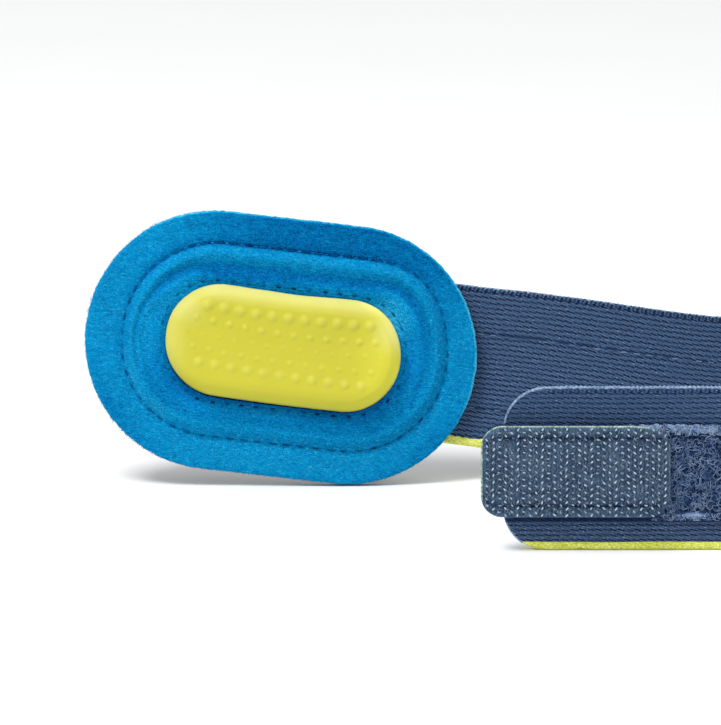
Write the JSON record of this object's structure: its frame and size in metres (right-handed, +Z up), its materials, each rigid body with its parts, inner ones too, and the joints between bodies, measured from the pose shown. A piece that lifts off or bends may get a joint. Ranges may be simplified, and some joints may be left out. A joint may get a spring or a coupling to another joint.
{
  "type": "elbow strap",
  "caption": "Forearm strap for an elbow: knitted elastic band with an oval suede pad, a nubbed pressure insert and a hook-and-loop closure, bent in an open loop.",
  "frame": {"origin": "on the floor under the middle of the loop's box", "axes": "+X from the pad towards the bend, +Y from the near leg with the hook tab to the far leg with the pad, +Z up"},
  "size_m": [0.1878, 0.0932, 0.0597],
  "materials": {
    "navy_knit": "matt ribbed elastic knit",
    "lime_knit": "matt knitted edge",
    "blue_suede": "napped suede cloth",
    "dark_backing": "matt cloth",
    "lime_silicone": "satin moulded silicone",
    "navy_pile": "looped pile",
    "slate_hook": "nylon hook tape",
    "navy_webbing": "plain webbing"
  },
  "bodies": {
    "root": {"strap": "navy_knit", "strap_edge": "lime_knit", "pad_cover": "blue_suede", "pad_back": "dark_backing", "pelotte": "lime_silicone", "loop_tape": "navy_pile", "hook_tab": "slate_hook", "keeper_loop": "navy_webbing"}
  },
  "joints": []
}
